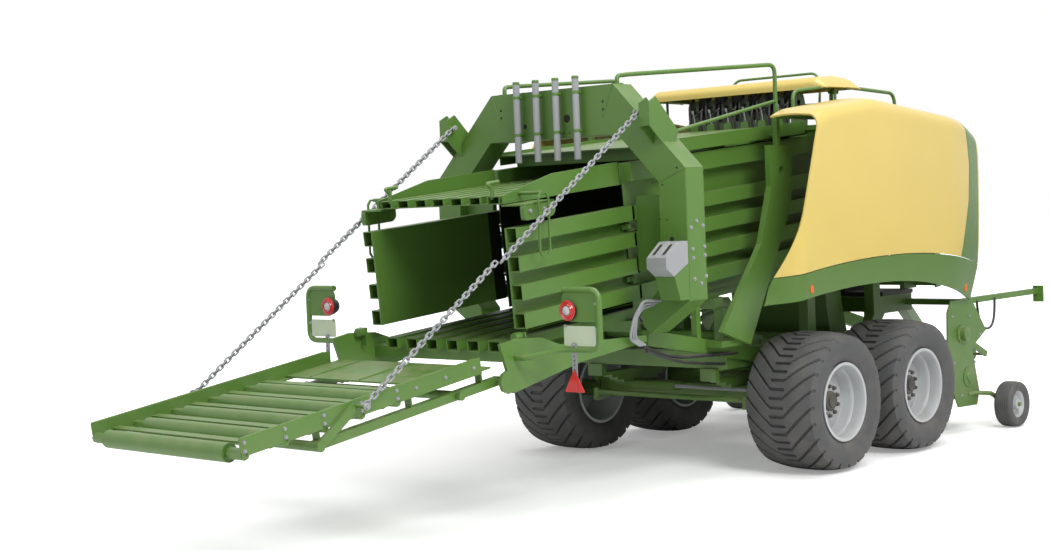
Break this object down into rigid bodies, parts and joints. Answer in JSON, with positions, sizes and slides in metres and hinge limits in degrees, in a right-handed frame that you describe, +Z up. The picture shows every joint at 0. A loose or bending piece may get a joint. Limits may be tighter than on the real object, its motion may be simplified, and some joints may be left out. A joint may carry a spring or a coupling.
{
  "type": "large square baler",
  "caption": "Trailed large square baler on a tandem axle, with a tilted press chamber, hexagonal arch, roller chute on chains, side hoods, knotters and a tined pickup.",
  "frame": {"origin": "on the ground below the middle of the whole machine", "axes": "+X is the direction of travel, +Y the left side and +Z up"},
  "size_m": [9.2126, 3.065, 3.1551],
  "materials": {
    "green_paint": "satin",
    "yellow_paint": "gloss",
    "rim_paint": "satin",
    "tyre": "matt",
    "galvanised": "satin",
    "chrome": "gloss",
    "black_paint": "satin",
    "red_plastic": "gloss",
    "grey_plastic": "matt"
  },
  "bodies": {
    "frame": {"arch": "green_paint", "axle_front": "green_paint", "axle_rear": "green_paint", "chamber_floor": "green_paint", "chamber_roof": "green_paint", "chamber_walls": "green_paint", "chassis": "green_paint", "deck": "green_paint", "drawbar": "green_paint", "feed_duct": "green_paint", "front_frame": "green_paint", "front_shield": "green_paint", "gearbox": "black_paint", "guide_rods": "chrome", "handrails": "green_paint", "hood_frames": "green_paint", "hydraulics": "black_paint", "knotters": "black_paint", "lamp_carriers": "green_paint", "lamps": "red_plastic", "needle_yoke": "green_paint", "parking_jack": "green_paint", "pivot_plates": "green_paint", "wheel_chocks": "grey_plastic"},
    "wheel_front_right": {"tyre_front_right": "tyre", "rim_front_right": "rim_paint"},
    "wheel_rear_right": {"tyre_rear_right": "tyre", "rim_rear_right": "rim_paint"},
    "knuckle_right": {"knuckle_right": "green_paint"},
    "chain_upper_right": {"chain_upper_right": "galvanised"},
    "chain_lower_right": {"chain_lower_right": "galvanised"},
    "side_flap_right": {"side_flap_right": "green_paint"},
    "hood_right": {"hood_right": "yellow_paint", "hood_skirt_right": "green_paint"},
    "gauge_wheel_right": {"gauge_wheel_right": "tyre"},
    "wheel_front_left": {"tyre_front_left": "tyre", "rim_front_left": "rim_paint"},
    "wheel_rear_left": {"tyre_rear_left": "tyre", "rim_rear_left": "rim_paint"},
    "knuckle_left": {"knuckle_left": "green_paint"},
    "chain_upper_left": {"chain_upper_left": "galvanised"},
    "chain_lower_left": {"chain_lower_left": "galvanised"},
    "side_flap_left": {"side_flap_left": "green_paint"},
    "hood_left": {"hood_left": "yellow_paint", "hood_skirt_left": "green_paint"},
    "gauge_wheel_left": {"gauge_wheel_left": "tyre"},
    "tie_rod": {"tie_rod": "green_paint"},
    "steer_rod": {"steer_rod": "chrome"},
    "top_flap": {"top_flap": "green_paint"},
    "knotter_lid": {"knotter_lid": "yellow_paint"},
    "flywheel": {"flywheel": "black_paint"},
    "pickup_reel": {"pickup_reel": "black_paint"},
    "crop_roller": {"crop_roller": "green_paint"},
    "chute": {"chute_frame": "green_paint"},
    "pickup": {"pickup_frame": "green_paint"},
    "chute_roller_1": {"chute_roller_1": "green_paint"},
    "chute_roller_2": {"chute_roller_2": "green_paint"},
    "chute_roller_3": {"chute_roller_3": "green_paint"},
    "chute_roller_4": {"chute_roller_4": "green_paint"},
    "chute_roller_5": {"chute_roller_5": "green_paint"}
  },
  "joints": [
    {"name": "steer_right", "type": "hinge", "parent": "frame", "child": "knuckle_right", "pos_m": [0.53, -0.84, 0.532], "axis": [0, 0, 1], "range_deg": [-12, 12]},
    {"name": "steer_left", "type": "hinge", "parent": "frame", "child": "knuckle_left", "pos_m": [0.53, 0.84, 0.532], "axis": [0, 0, 1], "range_deg": [-12.5, 12.5]},
    {"name": "tie_rod_pin", "type": "hinge", "parent": "knuckle_right", "child": "tie_rod", "pos_m": [0.26, -0.752, 0.46], "axis": [0, 0, 1], "range_deg": [-14, 14]},
    {"name": "steer_cylinder", "type": "slide", "parent": "frame", "child": "steer_rod", "axis": [0, 1, 0], "range_m": [-0.034, 0.034]},
    {"name": "wheel_front_right_spin", "type": "hinge", "parent": "frame", "child": "wheel_front_right", "pos_m": [1.71, -1.198, 0.532], "axis": [0, 1, 0], "continuous": true},
    {"name": "wheel_front_left_spin", "type": "hinge", "parent": "frame", "child": "wheel_front_left", "pos_m": [1.71, 1.198, 0.532], "axis": [0, 1, 0], "continuous": true},
    {"name": "wheel_rear_right_spin", "type": "hinge", "parent": "knuckle_right", "child": "wheel_rear_right", "pos_m": [0.53, -1.198, 0.532], "axis": [0, 1, 0], "continuous": true},
    {"name": "wheel_rear_left_spin", "type": "hinge", "parent": "knuckle_left", "child": "wheel_rear_left", "pos_m": [0.53, 1.198, 0.532], "axis": [0, 1, 0], "continuous": true},
    {"name": "chute_fold", "type": "hinge", "parent": "frame", "child": "chute", "pos_m": [-2.47, 0, 0.972], "axis": [0, 1, 0], "range_deg": [0, 76]},
    {"name": "chute_roller_1_spin", "type": "hinge", "parent": "chute", "child": "chute_roller_1", "pos_m": [-4.54863, 0, 0.78085], "axis": [0, 1, 0], "continuous": true},
    {"name": "chute_roller_2_spin", "type": "hinge", "parent": "chute", "child": "chute_roller_2", "pos_m": [-4.25551, 0, 0.82205], "axis": [0, 1, 0], "continuous": true},
    {"name": "chute_roller_3_spin", "type": "hinge", "parent": "chute", "child": "chute_roller_3", "pos_m": [-3.96239, 0, 0.86324], "axis": [0, 1, 0], "continuous": true},
    {"name": "chute_roller_4_spin", "type": "hinge", "parent": "chute", "child": "chute_roller_4", "pos_m": [-3.66927, 0, 0.90444], "axis": [0, 1, 0], "continuous": true},
    {"name": "chute_roller_5_spin", "type": "hinge", "parent": "chute", "child": "chute_roller_5", "pos_m": [-3.37615, 0, 0.94563], "axis": [0, 1, 0], "continuous": true},
    {"name": "chain_upper_right_pin", "type": "hinge", "parent": "frame", "child": "chain_upper_right", "pos_m": [-1.146, -0.916, 2.726], "axis": [0, 1, 0], "range_deg": [-32, 0]},
    {"name": "chain_lower_right_pin", "type": "hinge", "parent": "chute", "child": "chain_lower_right", "pos_m": [-3.7306, -0.834, 0.96004], "axis": [0, 1, 0], "range_deg": [0, 5.6]},
    {"name": "chain_upper_left_pin", "type": "hinge", "parent": "frame", "child": "chain_upper_left", "pos_m": [-1.146, 0.916, 2.726], "axis": [0, 1, 0], "range_deg": [-32, 0]},
    {"name": "chain_lower_left_pin", "type": "hinge", "parent": "chute", "child": "chain_lower_left", "pos_m": [-3.7306, 0.834, 0.96004], "axis": [0, 1, 0], "range_deg": [0, 5.6]},
    {"name": "side_flap_right_swing", "type": "hinge", "parent": "frame", "child": "side_flap_right", "pos_m": [-0.92011, -0.649, 1.32914], "axis": [-0.0872, 0, 0.9962], "range_deg": [-3.5, 0]},
    {"name": "side_flap_left_swing", "type": "hinge", "parent": "frame", "child": "side_flap_left", "pos_m": [-0.92011, 0.649, 1.32914], "axis": [-0.0872, 0, 0.9962], "range_deg": [0, 3.5]},
    {"name": "top_flap_swing", "type": "hinge", "parent": "frame", "child": "top_flap", "pos_m": [-1.00239, 0, 2.26955], "axis": [0, 1, 0], "range_deg": [-3, 0]},
    {"name": "hood_right_lift", "type": "hinge", "parent": "frame", "child": "hood_right", "pos_m": [1.2, -1, 2.74], "axis": [1, 0, 0], "range_deg": [-60, 0]},
    {"name": "hood_left_lift", "type": "hinge", "parent": "frame", "child": "hood_left", "pos_m": [1.2, 1, 2.74], "axis": [1, 0, 0], "range_deg": [0, 60]},
    {"name": "knotter_lid_lift", "type": "hinge", "parent": "frame", "child": "knotter_lid", "pos_m": [1.8172, 0, 2.96009], "axis": [0, 1, 0], "range_deg": [0, 60]},
    {"name": "flywheel_spin", "type": "hinge", "parent": "frame", "child": "flywheel", "pos_m": [3.12, 0, 1.56], "axis": [1, 0, 0], "continuous": true},
    {"name": "pickup_lift", "type": "hinge", "parent": "frame", "child": "pickup", "pos_m": [2.35, 0, 0.7], "axis": [0, -1, 0], "range_deg": [0, 10]},
    {"name": "pickup_reel_spin", "type": "hinge", "parent": "pickup", "child": "pickup_reel", "pos_m": [2.8, 0, 0.48], "axis": [0, 1, 0], "continuous": true},
    {"name": "crop_roller_spin", "type": "hinge", "parent": "pickup", "child": "crop_roller", "pos_m": [3.18, 0, 0.64], "axis": [0, 1, 0], "continuous": true},
    {"name": "gauge_wheel_right_spin", "type": "hinge", "parent": "pickup", "child": "gauge_wheel_right", "pos_m": [3.28, -1.45, 0.2], "axis": [0, 1, 0], "continuous": true},
    {"name": "gauge_wheel_left_spin", "type": "hinge", "parent": "pickup", "child": "gauge_wheel_left", "pos_m": [3.28, 1.45, 0.2], "axis": [0, 1, 0], "continuous": true}
  ],
  "couplings": [
    {"joint": "steer_left", "follows": "steer_right", "ratio": 1},
    {"joint": "tie_rod_pin", "follows": "steer_right", "ratio": -1.117},
    {"joint": "steer_cylinder", "follows": "steer_right", "m_per_rad": -0.15},
    {"joint": "chain_upper_right_pin", "follows": "chute_fold", "ratio": -0.42},
    {"joint": "chain_lower_right_pin", "follows": "chute_fold", "ratio": 0.068},
    {"joint": "chain_upper_left_pin", "follows": "chute_fold", "ratio": -0.42},
    {"joint": "chain_lower_left_pin", "follows": "chute_fold", "ratio": 0.068}
  ]
}
